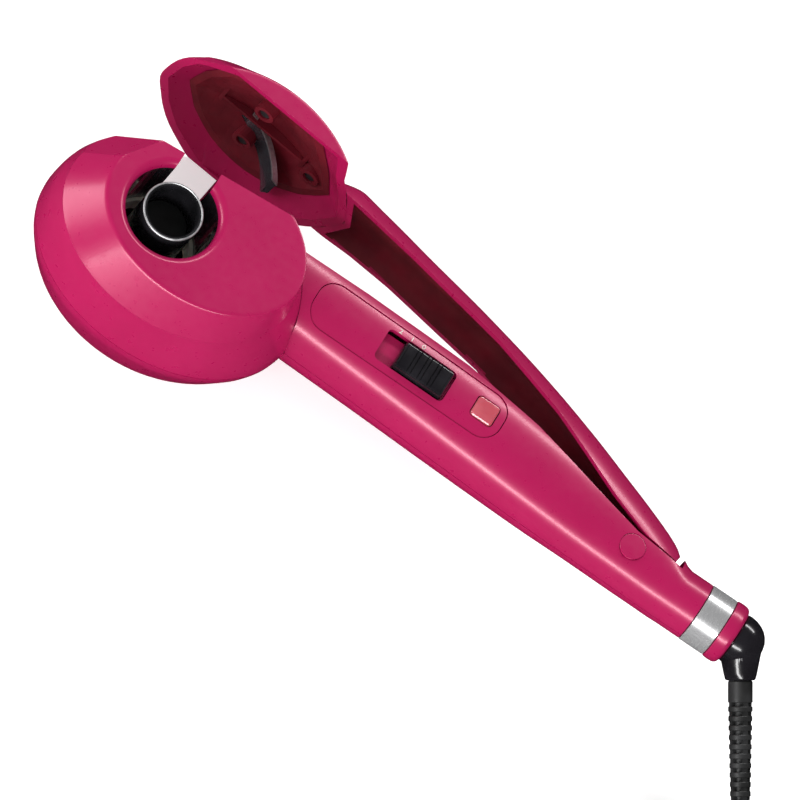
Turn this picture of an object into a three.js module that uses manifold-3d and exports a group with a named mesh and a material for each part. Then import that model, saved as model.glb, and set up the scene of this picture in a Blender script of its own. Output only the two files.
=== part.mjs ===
// Automatic hair curler: a hinged wand with a motor-driven curl chamber in its head.
// Millimetres. +X runs from the head to the lead, +Y towards the upper arm, +Z along the curling barrel.
// The tool lies on the flat back of its head, with the upper arm open.
import * as THREE from 'three';
import { mergeVertices } from 'three/addons/utils/BufferGeometryUtils.js';
import Module from 'manifold-3d';

const wasm = await Module();
wasm.setup();

// ---------- driving dimensions ----------
const GAP = 0.3;                  // clearance between pieces that touch
const WALL = 2.2;                 // casing wall
const DEPTH = 74;                 // head, front face to back face
const MID = DEPTH / 2;            // split line of the casings

const ORIGIN = [129.9, 12.3];      // row origin, from the barrel axis: the middle of the tool's footprint
// The head's ellipses, back to front: height over the mid-plane, centre X and Y, half-length, half-height
const HEAD_LEVELS = [
  [-37, 12, 1, 34, 26], [-25, 11, 0, 44, 32], [-14, 11, 0, 49, 36], [0, 11, 0, 53, 39.5],
  [14, 9.5, -0.5, 51, 38], [25, 8.5, -1, 47, 36.5], [37, 13.4, 1.5, 40, 30],
];
// The facet that bevels the head's nose: its outward direction and distance from the barrel axis, mid-plane
const NOSE_FACET = { normal: [-0.67, 0.44, 0.6], distance: 42.6 };
// Edges of the lower and the upper half where they meet when the tool is shut
const PARTING = [
  [-60, 17.9], [60, 26.9], [78, 27.6], [122, 27.2],
  [155, 23], [190, 14.5], [206, 10.8], [227, 9.2],
];
const UPPER_EDGE = [
  [-60, 17.9], [60, 26.9], [78, 27.6], [122, 27.2],
  [155, 23], [190, 14.6], [208, 11.6], [222.5, 12.8],
];

// station along X, bottom, top, half-width, roundness of the section
const ARM_STATIONS = [
  [38, -1.5, 32.5, 20.5, 2.4], [50, -2.5, 37.6, 19.3, 2.4], [62, -3.5, 37.6, 18.2, 2.4],
  [85, -4.3, 37, 17.4, 2.4], [105, -5, 36.6, 17, 2.4], [130, -6, 35.4, 16.3, 2.4],
  [150, -6.7, 33.6, 15.6, 2.4], [170, -7.3, 31, 14.6, 2.4], [190, -7.6, 27.8, 13.4, 2.3],
  [207, -7.8, 24.6, 12.7, 2.3], [219, -8, 21.6, 12.2, 2.2], [227, -8.1, 16.5, 11.7, 2.1],
  [231, -8.1, 14.7, 11.4, 2], [240.2, -8.1, 14.7, 11.4, 2],
];
const PIVOT = [207.3, 4.4];       // hinge of the upper arm
const OPEN_DEG = 10.5;            // how far the spring holds the arms apart
const PIN_R = 2;
const LUG_HALF = 5;               // half-width of the upper arm's hinge lug

const BARREL_R = 11.3;
const CHAMBER_R = 17.6;
const SLOT_HALF = 7.6;            // half-width of the slot that hair enters by
const LIP_R = 20.8;               // outside of the rounded lip round the chamber

const MODULE = 1;                 // gear module
const ROTOR_TEETH = 38;
const IDLER_TEETH = 16;
const PINION_TEETH = 10;
const TRAIN_DIRECTION = -32.5;    // direction of the motor from the barrel, degrees
const GEAR_Z = [34, 40];
const MOTOR_R = 7.4;

const TAIL_Y = 3.3;               // axis of the tail, the band and the swivel
const TAIL_R = 11.4;
const LEAD_D = 6.5;
const RELIEF_START = 14.3;        // from the elbow's centre
const RELIEF_END = 70;

// ---------- materials ----------
const finish = (color, roughness, metalness = 0) =>
  new THREE.MeshStandardMaterial({ color, roughness, metalness });
const PINK = finish(0xc8205f, 0.25);
const MAROON = finish(0x4c1218, 0.5);
const BLACK = finish(0x141414, 0.35);
const DARK_CERAMIC = finish(0x1b1a1c, 0.3);
const STEEL = finish(0x9a9a9c, 0.3, 1);
const CHROME = finish(0xd8d8da, 0.1, 1);
const NYLON = finish(0xd9d6c8, 0.5);
const RED = finish(0xb01822, 0.15);
const GREEN = finish(0x1f5a34, 0.6);
const BRASS = finish(0xb08a3c, 0.3, 1);
const RUBBER = finish(0x161616, 0.7);

// ---------- solids ----------
function solid(geometry) {
  const bare = geometry.clone();
  bare.deleteAttribute('normal');
  bare.deleteAttribute('uv');
  const merged = mergeVertices(bare, 1e-4);
  const vertProperties = new Float32Array(merged.attributes.position.array);
  const triVerts = new Uint32Array(merged.index.array);
  if (signedVolume(vertProperties, triVerts) < 0) {
    for (let i = 0; i < triVerts.length; i += 3) {
      [triVerts[i], triVerts[i + 1]] = [triVerts[i + 1], triVerts[i]];
    }
  }
  return new wasm.Manifold(new wasm.Mesh({ numProp: 3, vertProperties, triVerts }));
}

function signedVolume(points, triangles) {
  const [a, b, c] = [new THREE.Vector3(), new THREE.Vector3(), new THREE.Vector3()];
  let volume = 0;
  for (let i = 0; i < triangles.length; i += 3) {
    a.fromArray(points, 3 * triangles[i]);
    b.fromArray(points, 3 * triangles[i + 1]);
    c.fromArray(points, 3 * triangles[i + 2]);
    volume += a.dot(b.cross(c)) / 6;
  }
  return volume;
}

function geometryOf(manifold) {
  const mesh = manifold.getMesh();
  const geometry = new THREE.BufferGeometry();
  geometry.setAttribute('position', new THREE.BufferAttribute(new Float32Array(mesh.vertProperties), 3));
  geometry.setIndex(new THREE.BufferAttribute(new Uint32Array(mesh.triVerts), 1));
  geometry.computeVertexNormals();
  return geometry;
}

// Closed skin through rings that have the same number of points
function loft(rings) {
  const count = rings[0].length;
  const positions = rings.flat().flatMap((p) => [p.x, p.y, p.z]);
  const indices = [];
  for (let r = 0; r + 1 < rings.length; r++) {
    for (let i = 0; i < count; i++) {
      const j = (i + 1) % count;
      const [a, b] = [r * count + i, r * count + j];
      const [c, d] = [a + count, b + count];
      indices.push(a, b, d, a, d, c);
    }
  }
  const last = (rings.length - 1) * count;
  for (let i = 1; i + 1 < count; i++) {
    indices.push(0, i + 1, i, last, last + i, last + i + 1);
  }
  const geometry = new THREE.BufferGeometry();
  geometry.setAttribute('position', new THREE.Float32BufferAttribute(positions, 3));
  geometry.setIndex(indices);
  return solid(geometry);
}

const shapeOf = (points) => new THREE.Shape(points.map(([x, y]) => new THREE.Vector2(x, y)));

// Outline in XY, raised from z0 to z1
function prism(outline, z0, z1) {
  const shape = outline instanceof THREE.Shape ? outline : shapeOf(outline);
  const form = { depth: z1 - z0, bevelEnabled: false, curveSegments: 8 };
  return solid(new THREE.ExtrudeGeometry(shape, form).translate(0, 0, z0));
}

function box(x0, x1, y0, y1, z0, z1) {
  const geometry = new THREE.BoxGeometry(x1 - x0, y1 - y0, z1 - z0);
  return solid(geometry.translate((x0 + x1) / 2, (y0 + y1) / 2, (z0 + z1) / 2));
}

function rodZ(radius, z0, z1, x = 0, y = 0, segments = 32) {
  const geometry = new THREE.CylinderGeometry(radius, radius, z1 - z0, segments);
  return solid(geometry.rotateX(Math.PI / 2).translate(x, y, (z0 + z1) / 2));
}

// Profile of [radius, height] points turned about the Z axis
function turned(profile, segments = 48) {
  const points = profile.map(([r, z]) => new THREE.Vector2(r, z));
  return solid(new THREE.LatheGeometry(points, segments).rotateX(Math.PI / 2));
}

const ring = (inner, outer, z0, z1, segments = 48) =>
  turned([[inner, z0], [outer, z0], [outer, z1], [inner, z1], [inner, z0]], segments);

// Profile of [radius, x] points turned about the tail's axis
function turnedTail(profile, segments = 36) {
  const points = profile.map(([r, x]) => new THREE.Vector2(r, x));
  const geometry = new THREE.LatheGeometry(points, segments).rotateZ(-Math.PI / 2);
  return solid(geometry.translate(0, TAIL_Y, MID));
}

function roundedBox(x0, x1, y0, y1, radius) {
  const shape = new THREE.Shape();
  shape.moveTo(x0 + radius, y0);
  shape.lineTo(x1 - radius, y0);
  shape.absarc(x1 - radius, y0 + radius, radius, -Math.PI / 2, 0);
  shape.lineTo(x1, y1 - radius);
  shape.absarc(x1 - radius, y1 - radius, radius, 0, Math.PI / 2);
  shape.lineTo(x0 + radius, y1);
  shape.absarc(x0 + radius, y1 - radius, radius, Math.PI / 2, Math.PI);
  shape.lineTo(x0, y0 + radius);
  shape.absarc(x0 + radius, y0 + radius, radius, Math.PI, 1.5 * Math.PI);
  return shape;
}

function frameGroup(x, y) {
  const group = new THREE.Group();
  group.position.set(x, y, 0);
  return group;
}

function add(parent, name, shape, material) {
  const mesh = new THREE.Mesh(geometryOf(shape), material);
  mesh.name = name;
  parent.add(mesh);
  return mesh;
}

const union = (shapes) => shapes.reduce((a, b) => a.add(b));

// ---------- closed outer forms ----------
function headForm(offset) {
  const segments = 56;
  const scale = (MID + offset) / MID;
  const rings = HEAD_LEVELS.map(([d, cx, cy, a, b]) => Array.from({ length: segments }, (_, i) => {
    const t = (2 * Math.PI * i) / segments;
    const x = cx + (a + offset) * Math.cos(t);
    const y = cy + (b + offset) * Math.sin(t);
    return new THREE.Vector3(x, y, MID + d * scale);
  }));
  return loft(rings).subtract(noseCut(1, offset)).subtract(noseCut(-1, offset));
}

// Everything beyond the nose facet on the front (side 1) or the back (side -1)
function noseCut(side, offset) {
  const [nx, ny, nz] = NOSE_FACET.normal;
  const normal = new THREE.Vector3(nx, ny, side * nz).normalize();
  const centre = new THREE.Vector3(0, 0, MID).addScaledVector(normal, NOSE_FACET.distance + offset + 100);
  const turn = new THREE.Quaternion().setFromUnitVectors(new THREE.Vector3(0, 0, 1), normal);
  const block = new THREE.BoxGeometry(200, 200, 200).applyQuaternion(turn);
  return solid(block.translate(centre.x, centre.y, centre.z));
}

function armForm(offset) {
  const segments = 32;
  const ringAt = ([x, bottom, top, half, power]) => Array.from({ length: segments }, (_, i) => {
    const t = (2 * Math.PI * i) / segments;
    const bulge = (v) => Math.sign(v) * Math.abs(v) ** (2 / power);
    const y = (bottom + top) / 2 + ((top - bottom) / 2 + offset) * bulge(Math.cos(t));
    const z = MID + (half + offset) * bulge(Math.sin(t));
    return new THREE.Vector3(x, y, z);
  });
  return loft(ARM_STATIONS.map(ringAt));
}

const FAR = 400;

// Everything under the parting line, lowered by a gap, with the whole tail behind it
function belowParting(drop) {
  const edge = PARTING.map(([x, y]) => [x, y - drop]);
  const end = edge[edge.length - 1][0];
  return prism([[-60, -FAR], [FAR, -FAR], [FAR, FAR], [end, FAR], ...edge.reverse()], -FAR, FAR);
}

function aboveParting(lift) {
  const edge = UPPER_EDGE.map(([x, y]) => [x, y + lift]);
  const end = edge[edge.length - 1][0];
  return prism([...edge, [end - 1.5, FAR], [-60, FAR]], -FAR, FAR);
}

const slotCut = (half) => box(-half, half, BARREL_R - 3, 60, -1, DEPTH + 1);
const frontHalf = () => box(-FAR, FAR, -FAR, FAR, MID + GAP / 2, FAR);
const backHalf = () => box(-FAR, FAR, -FAR, FAR, -FAR, MID - GAP / 2);
const rodX = (radius, x0, x1, y) => solid(new THREE.CylinderGeometry(radius, radius, x1 - x0, 24)
  .rotateZ(Math.PI / 2).translate((x0 + x1) / 2, y, MID));
const neckPassage = () => rodX(7, 35, 75, 9);

// ---------- the head's lower casing ----------
const chamberBore = (radius) => rodZ(radius, -1, DEPTH + 1, 0, 0, 48);

function headShell() {
  const outer = headForm(0).intersect(belowParting(GAP / 2));
  const inner = headForm(-WALL).intersect(belowParting(WALL));
  const slotWalls = box(-SLOT_HALF - 2, SLOT_HALF + 2, BARREL_R, FAR, 0, DEPTH).intersect(outer);
  const lipLand = rodZ(LIP_R, 0, 5).add(rodZ(LIP_R, DEPTH - 6, DEPTH)).intersect(outer);
  const hollow = inner.subtract(lipLand).subtract(slotWalls);
  return outer.subtract(hollow).subtract(slotCut(SLOT_HALF)).subtract(neckPassage());
}

function addHead(root) {
  const shell = headShell();
  const front = shell.intersect(frontHalf()).subtract(rodZ(CHAMBER_R + 1.9, 0, DEPTH - 3.2))
    .subtract(chamberBore(CHAMBER_R));
  const gearRoom = rodZ(21.6, GEAR_Z[0] - 1.2, GEAR_Z[1] + 1.2);
  const idlerRoom = trainPlaces().idlers
    .map(([x, y]) => rodZ(9.6, GEAR_Z[0] - 1.2, GEAR_Z[1] + 1.2, x, y));
  const back = shell.intersect(backHalf()).subtract(rodZ(CHAMBER_R + 1.9, 3.2, DEPTH));
  const rooms = union([gearRoom, ...idlerRoom]);
  const screwBores = union(backScrewPlaces().map(([x, y]) => rodZ(3.1, -1, 1.6, x, y, 16)));
  add(root, 'head_front_cover', front.subtract(rooms), PINK);
  add(root, 'head_back_cover', back.subtract(rooms).subtract(screwBores), PINK);
}

function backScrewPlaces() {
  return [[16, -20], [36, -10], [36, 12]];
}

function addBackScrews(root) {
  backScrewPlaces().forEach(([x, y], i) => {
    const head = rodZ(2.8, 0.4, 1.3, x, y, 16);
    const socket = box(x - 0.4, x + 0.4, y - 1.8, y + 1.8, 0, 0.8);
    add(root, `casing_screw_${i + 1}`, head.subtract(socket), STEEL);
  });
}

// The start switch closes when the lid presses the dome over it
function addStartSwitch(root) {
  const x = 31;
  const z = MID + 15;
  const profile = [[0, 0], [5.2, 0], [5.2, 1.2], [4, 2.4], [2.2, 2.9], [0, 3]];
  const dome = profile.map(([r, h]) => new THREE.Vector2(r, h));
  const foot = partingAt(x) + GAP + 0.25;
  add(root, 'start_dome', solid(new THREE.LatheGeometry(dome, 24).translate(x, foot, z)), PINK);
  add(root, 'start_switch', box(x - 5, x + 5, 14, 20, z - 3, z + 3), BLACK);
}

const partingAt = (x) => 22.4 + 0.075 * x;

// ---------- curl chamber, barrel and heater ----------
function addChamber(root) {
  const wall = [CHAMBER_R, CHAMBER_R + 1.6];
  const frontLiner = ring(wall[0], wall[1], GEAR_Z[1] + 2, DEPTH - 3.5).subtract(slotCut(SLOT_HALF));
  const backLiner = ring(wall[0], wall[1], 7, GEAR_Z[0] - 2).subtract(slotCut(SLOT_HALF));
  add(root, 'chamber_liner_front', frontLiner, BLACK);
  add(root, 'chamber_liner_back', backLiner, BLACK);
  const flange = rodZ(CHAMBER_R + 1.4, 3.6, 6.7).subtract(slotCut(SLOT_HALF));
  add(root, 'barrel_flange', flange, STEEL);
  add(root, 'barrel', ring(9.7, BARREL_R, 7, DEPTH - 2.4), DARK_CERAMIC);
  add(root, 'barrel_rim', ring(9.9, BARREL_R + 0.1, DEPTH - 2.1, DEPTH - 1), STEEL);
  add(root, 'heater_core', rodZ(9.3, 7, 52), DARK_CERAMIC);
  add(root, 'thermal_fuse', rodZ(1.6, 52.3, 58, 3, 2, 12), STEEL);
}

// ---------- gear train ----------
function gearOutline(teeth, phase, skip = () => false) {
  const pitch = (teeth * MODULE) / 2;
  const [root, tip] = [pitch - 1.1, pitch + 0.85];
  const step = 360 / teeth;
  const points = [];
  for (let i = 0; i < teeth; i++) {
    const centre = phase + i * step;
    points.push(polar(root, centre - 0.36 * step));
    if (!skip(centre)) {
      points.push(polar(tip, centre - 0.1 * step), polar(tip, centre + 0.1 * step));
    }
    points.push(polar(root, centre + 0.36 * step));
  }
  return points;
}

function polar(radius, degrees) {
  const t = THREE.MathUtils.degToRad(degrees);
  return [radius * Math.cos(t), radius * Math.sin(t)];
}

// Phase of a driven gear so that its gap meets the driver's tooth
function meshedPhase(driverTeeth, driverPhase, direction, drivenTeeth) {
  const driver = ((direction - driverPhase) * driverTeeth) / 360;
  return direction + 180 - ((0.5 - driver) * 360) / drivenTeeth;
}

// Pinion distance for idlers at a half-angle, and how far its teeth are from meshing both
function trainFor(halfAngle) {
  const toRotor = (MODULE * (ROTOR_TEETH + IDLER_TEETH)) / 2;
  const toPinion = (MODULE * (IDLER_TEETH + PINION_TEETH)) / 2;
  const [ix, iy] = polar(toRotor, halfAngle);
  const reach = ix + Math.sqrt(toPinion ** 2 - iy ** 2);
  const idlerPhase = meshedPhase(ROTOR_TEETH, 0, halfAngle, IDLER_TEETH);
  const toPinionDirection = THREE.MathUtils.radToDeg(Math.atan2(-iy, reach - ix));
  const pinionPhase = meshedPhase(IDLER_TEETH, idlerPhase, toPinionDirection, PINION_TEETH);
  const turn = ((2 * pinionPhase * PINION_TEETH) / 360) % 1;
  return { toRotor, reach, idlerPhase, pinionPhase, error: turn - Math.round(turn) };
}

function solveHalfAngle() {
  let best = 27;
  for (let angle = 27; angle < 28; angle += 0.001) {
    if (Math.abs(trainFor(angle).error) < Math.abs(trainFor(best).error)) best = angle;
  }
  return best;
}

const HALF_ANGLE = solveHalfAngle();

function trainPlaces() {
  const { toRotor, reach } = trainFor(HALF_ANGLE);
  const idlers = [1, -1].map((side) => polar(toRotor, TRAIN_DIRECTION + side * HALF_ANGLE));
  return { idlers, pinion: polar(reach, TRAIN_DIRECTION) };
}

function addGears(root) {
  const { idlerPhase, pinionPhase } = trainFor(HALF_ANGLE);
  const { idlers, pinion } = trainPlaces();
  const inSlot = (degrees) => Math.abs(((degrees % 360) + 360) % 360 - 90) < 25;
  const teeth = prism(gearOutline(ROTOR_TEETH, TRAIN_DIRECTION, inSlot), ...GEAR_Z);
  const collar = rodZ(18, GEAR_Z[0] - 1, GEAR_Z[1] + 1);
  const rotor = teeth.add(collar).subtract(rodZ(16.6, 0, DEPTH)).subtract(slotCut(SLOT_HALF));
  add(root, 'rotor_gear', rotor, NYLON);
  const hook = prism([[8.4, 15.6], [8, 13.2], [9.2, 12.6], [12.6, 10.6]], 35.5, 38.5);
  add(root, 'rotor_hook', hook.intersect(rodZ(16.2, 0, DEPTH)), STEEL);
  idlers.forEach(([x, y], i) => {
    const side = i === 0 ? 1 : -1;
    const phase = TRAIN_DIRECTION + side * idlerPhase;
    const gear = prism(gearOutline(IDLER_TEETH, phase), ...GEAR_Z).subtract(rodZ(2.3, 0, DEPTH, 0, 0, 20));
    add(root, `idler_gear_${i + 1}`, gear.translate(x, y, 0), NYLON);
    add(root, `idler_axle_${i + 1}`, rodZ(2, 6.9, GEAR_Z[1] + 1.5, x, y, 20), STEEL);
  });
  const bore = rodZ(1.3, 0, DEPTH, 0, 0, 16);
  const gear = prism(gearOutline(PINION_TEETH, TRAIN_DIRECTION + pinionPhase), ...GEAR_Z).subtract(bore);
  add(root, 'motor_pinion', gear.translate(...pinion, 0), BRASS);
  add(root, 'motor_shaft', rodZ(1, GEAR_Z[0] - 1, 43, ...pinion, 16), STEEL);
  add(root, 'motor', rodZ(MOTOR_R, 45.3, 67.5, ...pinion, 28), STEEL);
  const plate = rodZ(MOTOR_R, 43.3, 45, ...pinion, 28);
  add(root, 'motor_bracket', plate.add(box(28, 40, -17, -12, 43.3, 45)), STEEL);
}

// ---------- lower arm ----------
const PANEL = { x: [61.5, 143.5], y: [4.5, 23.5], radius: 7.5, inset: 0.7, thick: 1.8 };
const SWITCH_WINDOW = { x: [90.8, 120], y: [7.6, 20.4] };
const SWITCH_CAP = { x: [98, 119.4], y: [8.2, 19.8] };
const LENS = { x: [131, 140.2], y: [10.2, 19] };

const panelOutline = (grow) => roundedBox(
  PANEL.x[0] - grow, PANEL.x[1] + grow, PANEL.y[0] - grow, PANEL.y[1] + grow, PANEL.radius + grow);

function addLowerArm(root) {
  const body = armForm(0).intersect(belowParting(GAP / 2)).subtract(headForm(GAP));
  const hollow = armForm(-WALL).intersect(belowParting(WALL + GAP)).subtract(headForm(WALL))
    .subtract(box(232, FAR, -FAR, FAR, -FAR, FAR));
  const pocket = prism(panelOutline(GAP), MID + 8, FAR);
  const lugSlot = box(196, 216.5, 0, FAR, MID - LUG_HALF - 0.6, MID + LUG_HALF + 0.6);
  const bosses = rodZ(4.6, MID - 12, MID + 12, ...PIVOT, 24)
    .subtract(box(190, 220, -20, 30, MID - LUG_HALF - 0.6, MID + 8.6));
  const bore = rodZ(PIN_R + 0.25, MID - 10.6, MID + 10.9, ...PIVOT, 24);
  const capSeats = rodZ(5.2, MID + 11.2, FAR, ...PIVOT).add(rodZ(5.2, -FAR, MID - 11.2, ...PIVOT));
  const tailBore = rodX(5, 225, 255, TAIL_Y);
  const shell = body.subtract(hollow).add(bosses.intersect(body)).subtract(lugSlot).subtract(bore)
    .subtract(capSeats).subtract(tailBore).subtract(neckPassage());
  add(root, 'handle_front_shell', shell.intersect(frontHalf()).subtract(pocket), PINK);
  add(root, 'handle_back_shell', shell.intersect(backHalf()), PINK);
  addHingeFixings(root);
}

function addHingeFixings(root) {
  add(root, 'hinge_pin', rodZ(PIN_R, MID - 10.2, MID + 10.5, ...PIVOT, 24), STEEL);
  add(root, 'hinge_cap_front', rodZ(4.8, MID + 11.5, MID + 12.9, ...PIVOT), PINK);
  add(root, 'hinge_cap_back', rodZ(4.8, MID - 12.9, MID - 11.5, ...PIVOT), PINK);
  add(root, 'hinge_spring', coilSpring(3, 3.8, 3, MID + 6.1, 0.7), STEEL);
}

// Close-wound spring: touching turns, ribbed outside
function coilSpring(inner, outer, turns, z0, pitch) {
  const profile = [[inner, z0]];
  for (let i = 0; i < turns; i++) {
    profile.push([outer - 0.3, z0 + i * pitch], [outer, z0 + (i + 0.5) * pitch]);
  }
  const top = z0 + turns * pitch;
  profile.push([outer - 0.3, top], [inner, top], [inner, z0]);
  return turned(profile, 32).translate(...PIVOT, 0);
}

function sweep(points, radius, sides, steps) {
  const section = new THREE.Shape();
  section.absarc(0, 0, radius, 0, 2 * Math.PI);
  const extrudePath = new THREE.CatmullRomCurve3(points);
  const form = { extrudePath, steps, curveSegments: sides, bevelEnabled: false };
  return solid(new THREE.ExtrudeGeometry(section, form));
}

function addControls(root) {
  const outer = armForm(-PANEL.inset);
  const plate = outer.subtract(armForm(-PANEL.inset - PANEL.thick))
    .intersect(prism(panelOutline(0), MID + 9, FAR)).subtract(headForm(GAP));
  const windows = [SWITCH_WINDOW, LENS].map(({ x, y }) =>
    prism(roundedBox(x[0] - GAP, x[1] + GAP, y[0] - GAP, y[1] + GAP, 1.6), MID, FAR));
  add(root, 'control_panel', plate.subtract(windows[0]).subtract(windows[1]), PINK);

  const top = MID + 18.4;
  let cap = prism(roundedBox(...SWITCH_CAP.x, ...SWITCH_CAP.y, 1.2), MID + 13.2, top);
  for (let i = 0; i < 7; i++) {
    const x = SWITCH_CAP.x[0] + 3.1 + i * 2.45;
    cap = cap.subtract(box(x, x + 0.9, 0, 40, top - 1, FAR));
  }
  const skirt = box(87, 126, 8, 20, MID + 12.2, MID + 13.2);
  add(root, 'slide_switch_cap', cap.add(skirt), BLACK);
  add(root, 'slide_switch_body', box(92, 116, 8.6, 19.4, MID + 3.4, MID + 11.8), BLACK);
  add(root, 'indicator_lens', prism(roundedBox(...LENS.x, ...LENS.y, 1.4), MID + 11.6, MID + 16.2), RED);
  add(root, 'indicator_lamp', rodZ(2.5, MID + 3.4, MID + 10.4, 135.6, 14.6, 16), RED);
  add(root, 'control_board', box(66, 152, 5.5, 20.5, MID + 1.4, MID + 3), GREEN);
  add(root, 'buzzer', rodZ(5.5, MID + 3.4, MID + 8.5, 75, 13, 24), BLACK);
}

// ---------- upper arm and lid, drawn closed and then swung open ----------
function addUpper(root) {
  const hinge = new THREE.Group();
  hinge.position.set(PIVOT[0], PIVOT[1], 0);
  hinge.rotation.z = THREE.MathUtils.degToRad(-OPEN_DEG);
  const upper = frameGroup(-PIVOT[0], -PIVOT[1]);
  hinge.add(upper);
  root.add(hinge);

  const lid = headForm(0).intersect(aboveParting(GAP / 2)).subtract(headForm(-WALL));
  add(upper, 'lid_shell', lid.subtract(armForm(GAP).intersect(box(52, FAR, -FAR, FAR, -FAR, FAR))), PINK);

  const arm = armForm(0).intersect(aboveParting(GAP / 2)).subtract(headForm(GAP));
  const hollow = armForm(-WALL).subtract(headForm(WALL)).subtract(box(221, FAR, -FAR, FAR, -FAR, FAR));
  const lug = prism(lugOutline(), MID - LUG_HALF, MID + LUG_HALF).intersect(armForm(-0.5));
  const bore = rodZ(PIN_R + 0.25, 0, DEPTH, ...PIVOT, 24);
  add(upper, 'upper_arm_shell', arm.subtract(hollow).add(lug).subtract(bore), PINK);

  addLidInside(upper);
  addHairGuide(upper);
}

function lugOutline() {
  const shape = new THREE.Shape();
  shape.moveTo(PIVOT[0] - 5, 26);
  shape.lineTo(PIVOT[0] - 5, PIVOT[1]);
  shape.absarc(PIVOT[0], PIVOT[1], 5, Math.PI, 2 * Math.PI);
  shape.lineTo(PIVOT[0] + 5, 26);
  return shape;
}

// Band along a curve that bends from the ceiling towards the parting line, from one offset to another
function guideOutline(near, far, length) {
  const curve = new THREE.QuadraticBezierCurve(
    new THREE.Vector2(8.6, 36.5), new THREE.Vector2(16, 34.5), new THREE.Vector2(18.6, 25.6));
  const edge = (offset) => Array.from({ length: 9 }, (_, i) => {
    const t = (length * i) / 8;
    const point = curve.getPoint(t);
    const tangent = curve.getTangent(t);
    return [point.x + offset * tangent.y, point.y - offset * tangent.x];
  });
  return [...edge(near), ...edge(far).reverse()];
}

const GUIDE_Z = [17, 31];

function addHairGuide(upper) {
  const room = headForm(-WALL - 1.8 - GAP);
  add(upper, 'hair_guide', prism(guideOutline(0, 2, 1), ...GUIDE_Z).intersect(room), BLACK);
  const leaf = prism(guideOutline(2.3, 2.9, 0.9), GUIDE_Z[0] + 2, GUIDE_Z[1] - 2);
  add(upper, 'guide_spring', leaf.intersect(room), STEEL);
}

const LID_SCREWS = [[3, 52], [3, 26], [30, 37]];
// Distances over the parting line inside the lid
const LINER_EDGE = 5;
const RIB_EDGE = 8.5;
const BOSS_EDGE = 5.1;
const SCREW_SEAT = 6.3;
const SCREW_ROOM = 8.1;

const postY = (radius, x, z, low, high) => solid(
  new THREE.CylinderGeometry(radius, radius, high - low, 20).translate(x, (low + high) / 2, z));

function addLidInside(upper) {
  const inside = headForm(-WALL - GAP);
  const ceiling = inside.subtract(headForm(-WALL - 1.8)).intersect(aboveParting(LINER_EDGE));
  const ribs = [-14, 24, 42].map((x) => box(x, x + 1.6, 0, FAR, 4, DEPTH - 4));
  const spine = box(-14, 43, 0, FAR, MID - 0.8, MID + 0.8);
  const webRoom = headForm(-WALL - 1.1);
  const ribWeb = union([...ribs, spine]).intersect(webRoom).intersect(aboveParting(RIB_EDGE));
  const bosses = union(LID_SCREWS.map(([x, z]) => postY(4, x, z, 0, FAR)));
  const bossBody = bosses.intersect(webRoom).intersect(aboveParting(BOSS_EDGE));
  const screwRoom = union(LID_SCREWS.map(([x, z]) => postY(2.4, x, z, 0, 40)));
  const guideRoom = box(7.4, 22, 0, 46, GUIDE_Z[0] - 0.5, GUIDE_Z[1] + 0.5);
  const webs = ribWeb.add(bossBody).subtract(guideRoom);
  const liner = ceiling.add(webs).subtract(screwRoom.subtract(aboveParting(SCREW_ROOM)));
  add(upper, 'lid_liner', liner, MAROON);
  LID_SCREWS.forEach(([x, z], i) => {
    const seat = partingAt(x) + SCREW_SEAT;
    add(upper, `lid_screw_${i + 1}`, postY(2, x, z, seat - 0.6, seat + 0.6), STEEL);
  });
}

// ---------- tail, swivel and lead ----------
function addTail(root) {
  const band = [[7, 240.6], [TAIL_R, 240.6], [TAIL_R + 0.15, 241.2], [TAIL_R + 0.15, 250.2],
    [TAIL_R, 250.8], [7, 250.8], [7, 240.6]];
  add(root, 'chrome_band', turnedTail(band), CHROME);
  const collar = [[7.4, 251.1], [TAIL_R + 0.3, 251.1], [TAIL_R + 0.5, 253], [TAIL_R + 0.3, 255.6],
    [TAIL_R - 0.9, 256.8], [7.4, 256.8], [7.4, 251.1]];
  add(root, 'end_collar', turnedTail(collar), PINK);
  const socket = [[3.2, 241], [6.6, 241], [6.6, 250.9], [3.2, 250.9], [3.2, 241]];
  add(root, 'swivel_socket', turnedTail(socket, 24), BLACK);
}

// Direction of the strain relief: down the tail, falling away to the belly side and the back
const RELIEF_DIR = new THREE.Vector3(0.5588, -0.7505, -0.3517).normalize();
const ELBOW = new THREE.Vector3(260, TAIL_Y, MID);
const along = (distance) => ELBOW.clone().addScaledVector(RELIEF_DIR, distance);

function turnedRelief(profile, segments = 24) {
  const points = profile.map(([r, d]) => new THREE.Vector2(r, d));
  const geometry = new THREE.LatheGeometry(points, segments);
  const turn = new THREE.Quaternion().setFromUnitVectors(new THREE.Vector3(0, 1, 0), RELIEF_DIR);
  return solid(geometry.applyQuaternion(turn).translate(ELBOW.x, ELBOW.y, ELBOW.z));
}

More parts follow.
